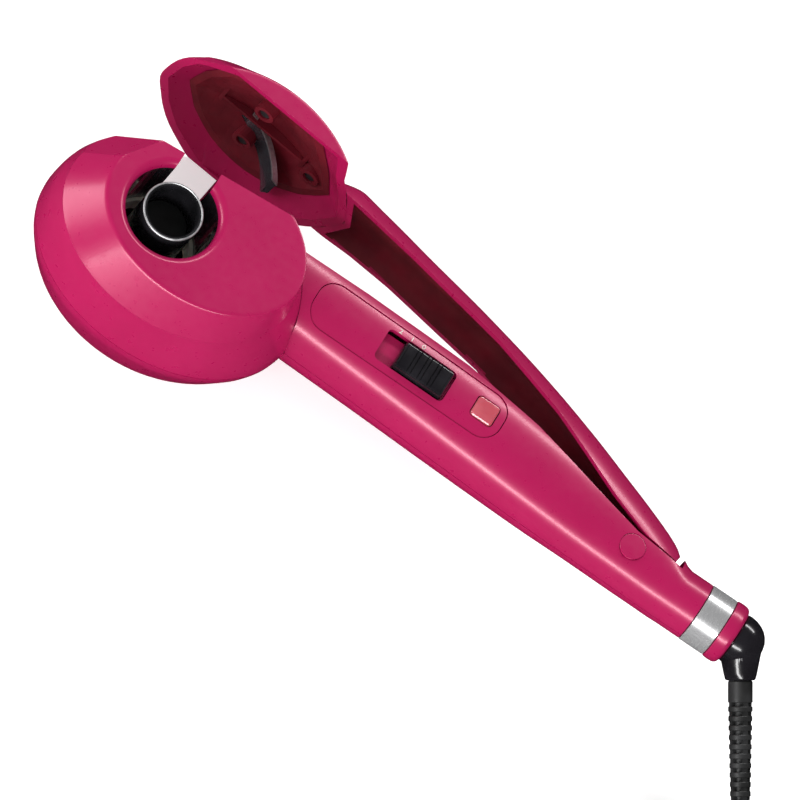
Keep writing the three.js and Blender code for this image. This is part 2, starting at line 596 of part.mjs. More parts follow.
function addSwivel(root) {
  const stem = turnedTail([[0, 245], [2.9, 245], [2.9, 252], [7.1, 252], [7.1, 257.1], [9.6, 257.1],
    [9.8, 259], [8.8, 263], [6.4, 266.4], [3, 268.3], [0, 268.6]], 28);
  const outlet = turnedRelief([[0, 0], [8.4, 0], [6.6, 9], [5.6, 14], [0, 14]])
    .intersect(box(257.1, FAR, -FAR, FAR, -FAR, FAR));
  add(root, 'swivel_elbow', stem.add(outlet), BLACK);
  const ribs = 14;
  const plain = RELIEF_START + 7.7;
  const pitch = (RELIEF_END - 0.3 - plain) / ribs;
  const profile = [[0, RELIEF_START], [4.5, RELIEF_START], [4.5, plain]];
  for (let i = 0; i < ribs; i++) {
    const start = plain + i * pitch;
    const outer = 4.5 - (1.1 * (i + 0.5)) / ribs;
    profile.push([outer - 0.9, start], [outer - 0.9, start + 0.35 * pitch]);
    profile.push([outer, start + 0.35 * pitch], [outer, start + pitch]);
  }
  profile.push([3.3, plain + ribs * pitch], [0, plain + ribs * pitch]);
  add(root, 'strain_relief', turnedRelief(profile, 16), BLACK);
}

// The lead falls to the surface, then meets the outer turn of its coil at a tangent
const LEAD_FLOOR = LEAD_D / 2 + 0.05;
const FALL = new THREE.Vector3(RELIEF_DIR.x, RELIEF_DIR.y, 0).normalize();
const COIL_TRACKS = [31, 44];     // radius of the innermost and outermost turn
const COIL_LAYERS = 3;
const LEAD_RUN = 44;              // from the end of the strain relief to the coil

const alongLead = (distance, height) => {
  const point = along(RELIEF_END + distance);
  return height === undefined ? point : point.setZ(height);
};

function leadRoute() {
  return [
    alongLead(0), alongLead(8), alongLead(16), alongLead(23, LEAD_FLOOR + 1.3),
    alongLead(31, LEAD_FLOOR + 0.1), alongLead(38, LEAD_FLOOR), alongLead(LEAD_RUN, LEAD_FLOOR),
  ];
}

function coilCentre() {
  const outward = new THREE.Vector3(-FALL.y, FALL.x, 0);
  return alongLead(LEAD_RUN, 0).addScaledVector(outward, -COIL_TRACKS[1]);
}

function addLead(root) {
  const route = leadRoute();
  add(root, 'cord_tube', sweep(route, LEAD_D / 2, 8, 14), RUBBER);
  const [inner, outer] = [COIL_TRACKS[0] - LEAD_D / 2 - 0.2, COIL_TRACKS[1] + LEAD_D / 2 + 0.2];
  const centre = coilCentre();
  const side = new THREE.Vector3(-FALL.y, FALL.x, 0);
  const clear = LEAD_D / 2 + GAP;
  const corner = (distance, offset) => alongLead(distance, 0).addScaledVector(side, offset).toArray();
  const end = LEAD_RUN + GAP;
  const mouth = prism([corner(0, -clear), corner(end, -clear), corner(end, 20), corner(0, 20)], -1, 8);
  const coil = ring(inner, outer, 0, COIL_LAYERS * (LEAD_D + 0.1), 40).translate(centre.x, centre.y, 0);
  add(root, 'cord_coil', coil.subtract(mouth), RUBBER);
  addPlug(root, centre);
}

// The plug lies on the coil, across its turns
const PLUG = { heading: -150, back: 30, length: 40, width: 25, thick: 17, bladeGap: 12.7 };

function addPlug(root, centre) {
  const plug = new THREE.Group();
  plug.position.set(centre.x, centre.y, COIL_LAYERS * (LEAD_D + 0.1) + GAP);
  plug.rotation.z = THREE.MathUtils.degToRad(PLUG.heading);
  root.add(plug);
  const offset = (COIL_TRACKS[0] + COIL_TRACKS[1]) / 2;
  const half = PLUG.width / 2;
  const outline = roundedBox(0, PLUG.length, offset - half, offset + half, 6);
  add(plug, 'plug_body', prism(outline, 0, PLUG.thick), BLACK);
  [-1, 1].forEach((side, i) => {
    const y = offset + (side * PLUG.bladeGap) / 2;
    const middle = PLUG.thick / 2;
    const [x0, x1] = [PLUG.length + 0.3, PLUG.length + 17.5];
    const blade = box(x0, x1, y - 0.75, y + 0.75, middle - 3.15, middle + 3.15);
    add(plug, `plug_blade_${i + 1}`, blade, STEEL);
  });
}

const device = frameGroup(-ORIGIN[0], -ORIGIN[1]);
addHead(device);
addStartSwitch(device);
addBackScrews(device);
addChamber(device);
addGears(device);
addLowerArm(device);
addControls(device);
addUpper(device);
addTail(device);
addSwivel(device);
addLead(device);

export default device;
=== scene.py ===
"""Automatic hair curler with its arms open, lying on the flat back of its head."""

import math

import bpy
from mathutils import Matrix, Vector


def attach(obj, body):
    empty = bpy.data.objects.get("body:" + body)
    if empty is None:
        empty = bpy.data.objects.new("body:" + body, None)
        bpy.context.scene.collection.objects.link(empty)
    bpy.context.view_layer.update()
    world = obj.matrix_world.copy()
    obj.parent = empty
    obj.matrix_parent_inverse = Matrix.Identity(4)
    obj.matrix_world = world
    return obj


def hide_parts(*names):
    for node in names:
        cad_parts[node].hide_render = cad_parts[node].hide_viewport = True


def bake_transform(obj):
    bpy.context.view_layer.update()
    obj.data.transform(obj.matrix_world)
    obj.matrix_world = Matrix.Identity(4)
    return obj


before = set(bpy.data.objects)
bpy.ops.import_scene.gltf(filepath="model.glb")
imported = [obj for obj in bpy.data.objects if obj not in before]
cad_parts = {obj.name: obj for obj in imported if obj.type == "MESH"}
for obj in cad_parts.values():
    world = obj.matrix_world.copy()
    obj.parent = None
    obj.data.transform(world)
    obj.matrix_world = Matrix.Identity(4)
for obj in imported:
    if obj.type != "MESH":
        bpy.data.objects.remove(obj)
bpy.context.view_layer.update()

# ---------- driving dimensions, millimetres ----------
# Measured from the barrel's axis and the casing's back face, with the tool shut
MM = 0.001
# The row's origin in that frame
ORIGIN = Vector((129.9, 12.3, 0))
# Height of the mid-plane that parts the front from the back half
MID = 37
DEPTH = 74
WALL = 2.2
GAP = 0.3
# Reach of the blocks that cut forms
FAR = 400
# Edges that turn more than this are shaded sharp
SHARP_DEG = 28

# The head's ellipses, back to front: height over the mid-plane, centre X and Y, half-length, half-height
HEAD_LEVELS = [
    (-37, 12, 1, 34, 26), (-25, 11, 0, 44, 32), (-14, 11, 0, 49, 36), (0, 11, 0, 53, 39.5),
    (14, 9.5, -0.5, 51, 38), (25, 8.5, -1, 47, 36.5), (37, 13.4, 1.5, 40, 30),
]
# Facets on its nose
NOSE_NORMAL = Vector((-0.67, 0.44, 0.6))
NOSE_DISTANCE = 42.6
BARREL_R = 11.3
CHAMBER_R = 17.6
SLOT_HALF = 7.6
# Radius and two heights
ROTOR_ROOM = (21.6, 32.8, 41.2)
CASING_SCREWS = [(16, -20), (36, -10), (36, 12)]
SCREW_HOLE_R = 3.1

# Edges of the lower and of the upper half, seen from the front
PARTING = [(-60, 17.9), (60, 26.9), (78, 27.6), (122, 27.2), (155, 23),
           (190, 14.5), (206, 10.8), (227, 9.2)]
UPPER_EDGE = [*PARTING[:5], (190, 14.6), (208, 11.6), (222.5, 12.8)]

# The shut arms' sections: X, lowest and highest Y, half-depth, power of the superellipse
ARM_STATIONS = [
    (38, -1.5, 32.5, 20.5, 2.4), (50, -2.5, 37.6, 19.3, 2.4), (62, -3.5, 37.6, 18.2, 2.4),
    (85, -4.3, 37, 17.4, 2.4), (105, -5, 36.6, 17, 2.4), (130, -6, 35.4, 16.3, 2.4),
    (150, -6.7, 33.6, 15.6, 2.4), (170, -7.3, 31, 14.6, 2.4), (190, -7.6, 27.8, 13.4, 2.3),
    (207, -7.8, 24.6, 12.7, 2.3), (219, -8, 21.6, 12.2, 2.2), (227, -8.1, 16.5, 11.7, 2.1),
    (231, -8.1, 14.7, 11.4, 2), (240.2, -8.1, 14.7, 11.4, 2),
]
# Hinge
PIVOT = Vector((207.3, 4.4, 0))
OPEN_DEG = 10.5
PIN_HOLE_R = 2.25
LUG_R = 5
LUG_HALF = 5
LUG_ROOM = LUG_HALF + 0.6
CAP_SEAT = 11.2

# Controls: pair in X, pair in Y and corner radius
PANEL = ((61.5, 143.5), (4.5, 23.5), 7.5)
SWITCH_WINDOW = ((90.8, 120), (7.6, 20.4), 1.6)
SWITCH_CAP = ((98, 119.4), (8.2, 19.8), 1.2)
LENS = ((131, 140.2), (10.2, 19), 1.4)
# How deep the panel lies under the arm's form
PANEL_DROP = 0.45
# Numeral and its X
MARKS = [("2", 94.5), ("1", 99.5), ("0", 104.5)]
MARK_Y = 21
MARK_SIZE = 3.2

# The hair guide's quadratic curve
GUIDE_CURVE = [Vector((-4, 33, 31)), Vector((12, 34, 23)), Vector((22, 25, 15))]
GUIDE_WIDTH = 16

# Tail, elbow and strain relief
TAIL_Y = 3.3
TAIL_R = 11.4
ELBOW = Vector((260, TAIL_Y, MID))
ELBOW_BACK = 257.1
RELIEF_DIR = Vector((0.5588, -0.7505, -0.3517)).normalized()
RELIEF_START = 14.3
RELIEF_PLAIN = 7.7
RELIEF_END = 70
RELIEF_RINGS = 14
RELIEF_R = 4.5
RELIEF_TAPER = 1.1

# Lead, plug and strap
LEAD_D = 6.5
LEAD_RUN = 44
LEAD_FLOOR = LEAD_D / 2 + 0.05
LAYER = LEAD_D + 0.1
COIL_TRACKS = (31, 44)
# Turns, radius from and to, layer from and to
WINDING = [(2, 44, 31, 0, 0), (0.35, 31, 31, 0, 1), (2, 31, 44, 1, 1), (0.35, 44, 44, 1, 2),
           (2, 44, 31, 2, 2), (0.57, 31, 37.5, 2, 3.83)]
PLUG_DEG = -150
PLUG_HALF_WIDTH = 12.5
PLUG_THICK = 17
BLADE_PITCH = 12.7
BLADE_HALF_WIDTH = 3.15
BLADE_HALF_THICK = 0.75
TIE_DEG = 150
TIE_HALF_WIDTH = 4.5
TIE_THICK = 1.2

CAMERA_RIGHT = Vector((0.8253, 0.4644, 0.3201))
CAMERA_UP = Vector((-0.5588, 0.7505, 0.3517))
CAMERA_AIM = (105.3, -12.8, 74.4)

# Metres
CAMERA_DISTANCE = 8
HALF_VIEW = 0.1439

TO_ROW = Matrix.Scale(MM, 4) @ Matrix.Translation(-ORIGIN)
OPENING = Matrix.Rotation(math.radians(-OPEN_DEG), 4, "Z")
SWING = Matrix.Translation(PIVOT) @ OPENING @ Matrix.Translation(-PIVOT)


def row(point):
    return TO_ROW @ Vector(point)


# ---------- camera ----------
def add_camera():
    right = CAMERA_RIGHT.normalized()
    back = right.cross(CAMERA_UP).normalized()
    up = back.cross(right)
    data = bpy.data.cameras.new("camera")
    data.sensor_width = 36
    data.angle = 2 * math.atan(HALF_VIEW / CAMERA_DISTANCE)
    data.clip_end = 20
    camera = bpy.data.objects.new("camera", data)
    turn = Matrix((right, up, back)).transposed().to_4x4()
    camera.matrix_world = Matrix.Translation(row(CAMERA_AIM) + CAMERA_DISTANCE * back) @ turn
    bpy.context.scene.collection.objects.link(camera)
    bpy.context.scene.camera = camera


# ---------- mesh tools ----------
# Forms are made in millimetres, and finish_piece moves them to the row's frame.
def mesh_object(name, points, faces):
    mesh = bpy.data.meshes.new(name)
    mesh.from_pydata([tuple(p) for p in points], [], faces)
    obj = bpy.data.objects.new(name, mesh)
    bpy.context.scene.collection.objects.link(obj)
    return obj


def loft(rings, closed=False):
    """Skin through rings of equal length, capped at both ends or closed on itself."""
    count = len(rings[0])
    faces = []
    for r in range(len(rings) if closed else len(rings) - 1):
        after = (r + 1) % len(rings)
        for i in range(count):
            j = (i + 1) % count
            faces.append((r * count + i, r * count + j, after * count + j, after * count + i))
    if not closed:
        faces.append(tuple(reversed(range(count))))
        faces.append(tuple((len(rings) - 1) * count + i for i in range(count)))
    obj = mesh_object("form", [p for ring in rings for p in ring], faces)
    outward(obj)
    return obj


def outward(obj):
    """Turns the faces outward."""
    mesh = obj.data
    volume = 0
    for face in mesh.polygons:
        corners = [mesh.vertices[i].co for i in face.vertices]
        for k in range(1, len(corners) - 1):
            volume += corners[0].dot(corners[k].cross(corners[k + 1]))
    if volume < 0:
        mesh.flip_normals()


def prism(outline, z0, z1):
    return loft([[(x, y, z) for x, y in outline] for z in (z0, z1)])


def box(x0, x1, y0, y1, z0, z1):
    return prism([(x0, y0), (x1, y0), (x1, y1), (x0, y1)], z0, z1)


def superellipse(count, power):
    """Points round a superellipse that reaches 1 each way."""
    points = []
    for i in range(count):
        t = 2 * math.pi * i / count
        points.append([math.copysign(abs(v) ** (2 / power), v) for v in (math.cos(t), math.sin(t))])
    return points


def circle(radius, count, centre):
    return [(centre[0] + radius * math.cos(2 * math.pi * i / count),
             centre[1] + radius * math.sin(2 * math.pi * i / count)) for i in range(count)]


def rod(radius, z0, z1, centre=(0, 0), count=64):
    return prism(circle(radius, count, centre), z0, z1)


def turned(profile, count=96):
    """Closed profile of (radius, height) turned about Z; radius 0 only at the ends."""
    rings = [[(r * math.cos(2 * math.pi * i / count), r * math.sin(2 * math.pi * i / count), h)
              for i in range(count)] for r, h in profile]
    hollow = profile[0] == profile[-1]
    return loft(rings[:-1] if hollow else rings, closed=hollow)


def turn_to(direction):
    """Turn that brings the Z axis to a direction."""
    return Vector((0, 0, 1)).rotation_difference(direction).to_matrix().to_4x4()


def turned_along(profile, start, direction, count=64):
    obj = turned(profile, count)
    obj.data.transform(Matrix.Translation(start) @ turn_to(direction))
    return obj


def turned_tail(profile):
    """Profile of (radius, X) turned about the tail's axis."""
    return turned_along(profile, Vector((0, TAIL_Y, MID)), Vector((1, 0, 0)), 96)


def rounded(x, y, radius, grow=0):
    """Rounded rectangle between the x pair and the y pair."""
    radius += grow
    left, right = x[0] - grow + radius, x[1] + grow - radius
    low, high = y[0] - grow + radius, y[1] + grow - radius
    points = []
    for cx, cy, start in [(right, low, -90), (right, high, 0), (left, high, 90), (left, low, 180)]:
        for i in range(9):
            t = math.radians(start + 90 * i / 8)
            points.append((cx + radius * math.cos(t), cy + radius * math.sin(t)))
    return points


def apply_modifiers(obj):
    graph = bpy.context.evaluated_depsgraph_get()
    mesh = bpy.data.meshes.new_from_object(obj.evaluated_get(graph))
    old = obj.data
    obj.modifiers.clear()
    obj.data = mesh
    bpy.data.meshes.remove(old)


def combine(obj, operation, *others):
    for other in others:
        step = obj.modifiers.new("combine", "BOOLEAN")
        step.solver = "MANIFOLD"
        step.operation = operation
        step.object = other
    bpy.context.view_layer.update()
    apply_modifiers(obj)
    for other in others:
        bpy.data.objects.remove(other)
    return obj


def cut(obj, *others):
    return combine(obj, "DIFFERENCE", *others)


def keep(obj, *others):
    return combine(obj, "INTERSECT", *others)


def join(obj, *others):
    return combine(obj, "UNION", *others)


def copy_of(obj):
    twin = bpy.data.objects.new(obj.name, obj.data.copy())
    bpy.context.scene.collection.objects.link(twin)
    return twin


def finish_piece(obj, name, body, material, nodes=(), bevel=0.0, swing=False):
    """Moves a form to the row's frame, rounds its edges, shades it and puts it on its body."""
    if bevel:
        step = obj.modifiers.new("edges", "BEVEL")
        step.width = bevel
        step.segments = 3
        step.limit_method = "ANGLE"
        step.angle_limit = math.radians(SHARP_DEG + 4)
        step.use_clamp_overlap = True
        apply_modifiers(obj)
    obj.data.transform(TO_ROW @ SWING if swing else TO_ROW)
    obj.name = name
    obj.data.name = name
    obj.data.materials.clear()
    obj.data.materials.append(MATERIALS[material])
    for face in obj.data.polygons:
        face.use_smooth = True
    obj.data.set_sharp_from_angle(angle=math.radians(SHARP_DEG))
    step = obj.modifiers.new("flat faces", "WEIGHTED_NORMAL")
    step.keep_sharp = True
    step.weight = 80
    apply_modifiers(obj)
    if body:
        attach(obj, body)
    if nodes:
        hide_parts(*nodes)
    return obj


# ---------- materials ----------
def shader(name, **values):
    """New material with its constant values set on the shader's own sockets."""
    material = bpy.data.materials.new(name)
    material.use_nodes = True
    nodes = material.node_tree.nodes
    bsdf = nodes["Principled BSDF"]
    for socket, value in values.items():
        bsdf.inputs[socket.replace("_", " ")].default_value = value
    return material, nodes, material.node_tree.links, bsdf


def noise(nodes, links, scale, detail=3, stretch=(1, 1, 1)):
    place = nodes.new("ShaderNodeTexCoord")
    mapping = nodes.new("ShaderNodeMapping")
    mapping.inputs["Scale"].default_value = stretch
    links.new(place.outputs["Object"], mapping.inputs["Vector"])
    texture = nodes.new("ShaderNodeTexNoise")
    texture.inputs["Scale"].default_value = scale
    texture.inputs["Detail"].default_value = detail
    links.new(mapping.outputs["Vector"], texture.inputs["Vector"])
    return texture.outputs["Fac"]


def ramp(nodes, links, source, *stops):
    """Colour between two stops of (position, colour)."""
    node = nodes.new("ShaderNodeValToRGB")
    for element, (position, colour) in zip(node.color_ramp.elements, stops):
        element.position = position
        element.color = (*colour, 1)
    links.new(source, node.inputs["Fac"])
    return node.outputs["Color"]


def spread(nodes, links, source, low, high):
    """Value between low and high that follows the noise."""
    node = nodes.new("ShaderNodeMapRange")
    node.inputs["From Min"].default_value = 0.3
    node.inputs["From Max"].default_value = 0.7
    node.inputs["To Min"].default_value = low
    node.inputs["To Max"].default_value = high
    links.new(source, node.inputs["Value"])
    return node.outputs["Result"]


def bump(nodes, links, bsdf, source, strength, depth):
    node = nodes.new("ShaderNodeBump")
    node.inputs["Strength"].default_value = strength
    node.inputs["Distance"].default_value = depth
    links.new(source, node.inputs["Height"])
    links.new(node.outputs["Normal"], bsdf.inputs["Normal"])


def moulded(name, dark, light, rough, grain, depth, **values):
    """Moulded plastic: slow colour drift, uneven gloss and a fine skin."""
    material, nodes, links, bsdf = shader(name, **values)
    drift = noise(nodes, links, 90, 2)
    links.new(ramp(nodes, links, drift, (0.35, dark), (0.65, light)), bsdf.inputs["Base Color"])
    links.new(spread(nodes, links, noise(nodes, links, 260), *rough), bsdf.inputs["Roughness"])
    bump(nodes, links, bsdf, noise(nodes, links, grain, 4), 0.25, depth)
    return material


def metal(name, dark, light, rough, stretch=(1, 1, 1), scale=700, depth=0.00001, metallic=0.85):
    """Drawn or turned metal: fine scratches along one direction."""
    material, nodes, links, bsdf = shader(name, Metallic=metallic)
    lines = noise(nodes, links, scale, 5, stretch)
    links.new(ramp(nodes, links, lines, (0.3, dark), (0.7, light)), bsdf.inputs["Base Color"])
    links.new(spread(nodes, links, lines, *rough), bsdf.inputs["Roughness"])
    bump(nodes, links, bsdf, lines, 0.2, depth)
    return material


def pearl_pink():
    """Pink plastic under a thin clear gloss, its colour and roughness a little uneven."""
    material, nodes, links, bsdf = shader("casing_pink", Metallic=0.1, Specular_IOR_Level=0.45,
                                          Coat_Weight=0.35, Coat_Roughness=0.14, Coat_IOR=1.4)
    drift = noise(nodes, links, 45, 2)
    links.new(ramp(nodes, links, drift, (0.3, (0.36, 0.0052, 0.07)), (0.7, (0.385, 0.0062, 0.077))),
              bsdf.inputs["Base Color"])
    links.new(spread(nodes, links, noise(nodes, links, 320), 0.27, 0.32), bsdf.inputs["Roughness"])
    return material


def make_materials():
    """Makes every material, and puts them on the CAD's nodes too."""
    made = [
        pearl_pink(),
        # Painted shade: liner_maroon is a dark maroon that stands in for the pink plastic in shade, inside the
        # lid and in the upper arm's channel
        moulded("liner_maroon", (0.11, 0.006, 0.013), (0.15, 0.009, 0.018), (0.35, 0.5), 1500, 2e-5,
                Specular_IOR_Level=0.35),
        moulded("black_gloss", (0.008, 0.007, 0.009), (0.014, 0.013, 0.016), (0.16, 0.24), 900, 6e-6,
                Coat_Weight=0.4, Coat_Roughness=0.05),
        moulded("black_matte", (0.01, 0.01, 0.01), (0.02, 0.02, 0.021), (0.45, 0.6), 2200, 3e-5),
        moulded("ceramic_black", (0.006, 0.006, 0.007), (0.016, 0.015, 0.018), (0.2, 0.32), 2600, 1e-5),
        metal("steel", (0.4, 0.4, 0.41), (0.6, 0.6, 0.61), (0.36, 0.48), (1, 1, 0.1)),
        metal("dark_mirror", (0.17, 0.16, 0.19), (0.21, 0.2, 0.23), (0.1, 0.14), scale=200, depth=1e-6),
        metal("chrome", (0.82, 0.82, 0.83), (0.92, 0.92, 0.93), (0.2, 0.28), (12, 1, 1), 500, 4e-6, 0.75),
        moulded("nylon", (0.62, 0.6, 0.5), (0.72, 0.7, 0.6), (0.4, 0.55), 1400, 2e-5, Subsurface_Weight=0.1),
        metal("brass", (0.55, 0.38, 0.13), (0.7, 0.5, 0.2), (0.2, 0.35)),
        moulded("lens_red", (0.42, 0.07, 0.095), (0.5, 0.11, 0.14), (0.08, 0.14), 700, 5e-6,
                Subsurface_Weight=0.2, Subsurface_Scale=0.002, Coat_Weight=0.3),
        moulded("board_green", (0.01, 0.07, 0.02), (0.016, 0.11, 0.035), (0.35, 0.5), 1200, 1e-5),
        moulded("lead_rubber", (0.012, 0.012, 0.012), (0.022, 0.022, 0.023), (0.38, 0.5), 1800, 3e-5,
                Specular_IOR_Level=0.4),
    ]
    by_name = {material.name.split(".")[0]: material for material in made}
    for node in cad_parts.values():
        for slot in node.material_slots:
            slot.material = by_name[slot.material.name.split(".")[0]]
    return by_name


# ---------- the lead ----------
def along(distance, height=None):
    """Point on the strain relief's line, or over or under it at a height."""
    point = ELBOW + distance * RELIEF_DIR
    return point if height is None else Vector((point.x, point.y, height))


FALL = Vector((RELIEF_DIR.x, RELIEF_DIR.y, 0)).normalized()
SIDE = Vector((-FALL.y, FALL.x, 0))
COIL_CENTRE = along(RELIEF_END + LEAD_RUN, 0) - COIL_TRACKS[1] * SIDE


def smooth(t):
    return t * t * (3 - 2 * t)


def catmull(points, steps):
    """Smooth curve through the points, with steps points a span."""
    ends = [2 * points[0] - points[1], *points, 2 * points[-1] - points[-2]]
    curve = []
    for a, b, c, d in zip(ends, ends[1:], ends[2:], ends[3:]):
        for k in range(steps):
            t = k / steps
            curve.append(0.5 * ((2 * b) + (c - a) * t + (2 * a - 5 * b + 4 * c - d) * t ** 2
                                + (3 * b - a - 3 * c + d) * t ** 3))
    return [*curve, points[-1]]


def lead_path():
    """Middle line of the lead: its fall to the floor, then its turns in the coil."""
    fall = [along(RELIEF_END + step) for step in (-3, 0, 8, 16)]
    for step, lift in [(23, 1.3), (31, 0.1), (38, 0), (LEAD_RUN, 0)]:
        fall.append(along(RELIEF_END + step, LEAD_FLOOR + lift))
    points = catmull(fall, 3)
    angle = math.atan2(SIDE.y, SIDE.x)
    for turns, r0, r1, level0, level1 in WINDING:
        steps = max(8, round(turns * 36))
        power = 2 if level1 > 3 else 1
        for k in range(1, steps + 1):
            t = k / steps
            radius = r0 + (r1 - r0) * t ** power
            height = LEAD_FLOOR + LAYER * (level0 + (level1 - level0) * smooth(t))
            phi = angle - 2 * math.pi * turns * t
            points.append(COIL_CENTRE + Vector((radius * math.cos(phi), radius * math.sin(phi), height)))
        angle -= 2 * math.pi * turns
    return points


def tube(points, radius, count=12):
    """Round tube whose section doesn't twist along its path."""
    normal = (points[1] - points[0]).orthogonal().normalized()
    rings = []
    for i, point in enumerate(points):
        tangent = (points[min(i + 1, len(points) - 1)] - points[max(i - 1, 0)]).normalized()
        normal = (normal - tangent * normal.dot(tangent)).normalized()
        side = tangent.cross(normal)
        rings.append([point + radius * (math.cos(2 * math.pi * k / count) * normal
                                        + math.sin(2 * math.pi * k / count) * side) for k in range(count)])
    return loft(rings)


def add_plug():
    """Two-pin plug that lies on the coil."""
    turn = Matrix.Rotation(math.radians(PLUG_DEG), 4, "Z")
    place = Matrix.Translation(COIL_CENTRE + Vector((0, 0, 3 * LAYER + GAP))) @ turn
    middle = sum(COIL_TRACKS) / 2
    body = add_plug_body(place, middle)
    return [body, add_blade(place, middle, 1, -1), add_blade(place, middle, 2, 1)]


def add_plug_body(place, middle):
    """Plug's moulding, from where the lead enters to its face."""
    sections = [(0, 0.5, 0.55), (1.2, 0.62, 0.66), (6, 0.78, 0.8), (12, 0.93, 0.93), (20, 1, 1),
                (38.8, 1, 1), (39.7, 0.97, 0.97), (40, 0.92, 0.93)]
    rings = []
    for x, wide, high in sections:
        rings.append([(x, middle + PLUG_HALF_WIDTH * wide * u, PLUG_THICK / 2 + PLUG_THICK / 2 * high * v)
                      for u, v in superellipse(48, 3.6)])
    body = loft(rings)
    grips = []
    for k in range(4):
        x0, x1 = 8 + 4 * k, 9.6 + 4 * k
        for side in (-1, 1):
            y0, y1 = middle + side * 9, middle + side * 13
            grips.append(box(x0, x1, y0, y1, 3, 14))
    cut(body, *grips)
    body.data.transform(place)
    return finish_piece(body, "plug_moulding", "lower_body", "lead_rubber", ["plug_body"], bevel=0.3)


def add_blade(place, middle, number, side):
    y = middle + side * BLADE_PITCH / 2
    wide = BLADE_HALF_WIDTH
    outline = [(40.2, -wide), (55.5, -wide), (57.5, -2.2), (57.5, 2.2), (55.5, wide), (40.2, wide)]
    blade = loft([[(x, w, PLUG_THICK / 2 + z) for x, z in outline]
                  for w in (y - BLADE_HALF_THICK, y + BLADE_HALF_THICK)])
    hole = rod(1.6, -3, 3, count=24)
    across = Matrix.Rotation(math.pi / 2, 4, "X")
    hole.data.transform(Matrix.Translation((52.5, y, PLUG_THICK / 2)) @ across)
    cut(blade, hole)
    blade.data.transform(place)
    name = f"plug_blade_{number}"
    return finish_piece(blade, f"{name}_stamped", "lower_body", "steel", [name], bevel=0.15)


def add_tie():
    """Strap that holds the coil's turns together."""
    angle = math.atan2(SIDE.y, SIDE.x) + math.radians(TIE_DEG)
    out = Vector((math.cos(angle), math.sin(angle), 0))
    across = Vector((-out.y, out.x, 0))
    half_length, half_height = 10.2, 3 * LAYER / 2 + 0.4
    centre = COIL_CENTRE + sum(COIL_TRACKS) / 2 * out + Vector((0, 0, half_height + 0.05))
    rings = []
    for thick, offset in [(0, -TIE_HALF_WIDTH), (0, TIE_HALF_WIDTH),
                          (TIE_THICK, TIE_HALF_WIDTH), (TIE_THICK, -TIE_HALF_WIDTH)]:
        ring = []
        for u, v in superellipse(48, 5):
            lift = half_height * v * (1 + thick / half_height * (v > 0))
            ring.append(centre + (half_length + thick) * u * out + Vector((0, 0, lift)) + offset * across)
        rings.append(ring)
    return finish_piece(loft(rings, closed=True), "cord_tie", "lower_body", "black_matte")


def add_lead():
    points = lead_path()
    lead = finish_piece(tube(points, LEAD_D / 2), "lead", None, "lead_rubber", ["cord_tube", "cord_coil"])
    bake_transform(lead)
    add_plug()
    add_tie()


# ---------- outer forms ----------
def curve_through(table, column, x):
    """Value of a column at x, on a smooth curve that doesn't overshoot its points."""
    xs = [r[0] for r in table]
    ys = [r[column] for r in table]
    slopes = [(b - a) / (d - c) for a, b, c, d in zip(ys, ys[1:], xs, xs[1:])]
    tangents = [slopes[0]]
    for a, b in zip(slopes, slopes[1:]):
        tangents.append(0 if a * b <= 0 else 2 * a * b / (a + b))
    tangents.append(slopes[-1])
    k = max(i for i in range(len(xs) - 1) if xs[i] <= x)
    h = xs[k + 1] - xs[k]
    t = (x - xs[k]) / h
    return ((2 * t ** 3 - 3 * t ** 2 + 1) * ys[k] + (t ** 3 - 2 * t ** 2 + t) * h * tangents[k]
            + (3 * t ** 2 - 2 * t ** 3) * ys[k + 1] + (t ** 3 - t ** 2) * h * tangents[k + 1])


def head_levels():
    """The head's ellipses, with small rounds at its back edge, its ridge and the edge of its face."""
    side, ridge, face = HEAD_LEVELS[:-1], HEAD_LEVELS[-2], HEAD_LEVELS[-1]

    def eased(level, height, inset):
        return (height, level[1], level[2], level[3] - inset, level[4] - inset)

    def cone(t):
        return tuple(a + (b - a) * t for a, b in zip(ridge, face))

    back = [eased(side[0], -MID, 1.4), eased(side[0], -MID, 0.6), eased(side[0], -MID + 0.12, 0.15)]
    wall = [(d, *[curve_through(side, column, d) for column in (1, 2, 3, 4)]) for d in range(-36, 25, 3)]
    band = [eased(cone(-0.03), 24.6, -0.02), cone(0.03), cone(0.08), cone(0.35), cone(0.65), cone(0.92)]
    top = [cone(0.965), eased(face, MID - 0.12, 0.15), eased(face, MID, 0.6), eased(face, MID, 1.4)]
    return [*back, *wall, *band, *top]


def head_form(offset=0.0, count=192):
    scale = (MID + offset) / MID
    rings = []
    for d, cx, cy, a, b in HEAD_LEVELS if offset else head_levels():
        rings.append([(cx + (a + offset) * math.cos(2 * math.pi * i / count),
                       cy + (b + offset) * math.sin(2 * math.pi * i / count), MID + d * scale)
                      for i in range(count)])
    return cut(loft(rings), nose_block(1, offset), nose_block(-1, offset))


def nose_block(side, offset):
    """Everything beyond the facet on the head's nose."""
    normal = Vector((NOSE_NORMAL.x, NOSE_NORMAL.y, side * NOSE_NORMAL.z)).normalized()
    size = 100
    block = box(-size, size, -size, size, -size, size)
    centre = Vector((0, 0, MID)) + (NOSE_DISTANCE + offset + size) * normal
    block.data.transform(Matrix.Translation(centre) @ turn_to(normal))
    return block


def arm_section(x):
    """Middle and half-height in Y, half-depth and power of the shut arms' section at x."""
    x = min(max(x, ARM_STATIONS[0][0]), ARM_STATIONS[-1][0] - 1e-6)
    bottom, top, half, power = [curve_through(ARM_STATIONS, column, x) for column in (1, 2, 3, 4)]
    return (bottom + top) / 2, (top - bottom) / 2, half, power


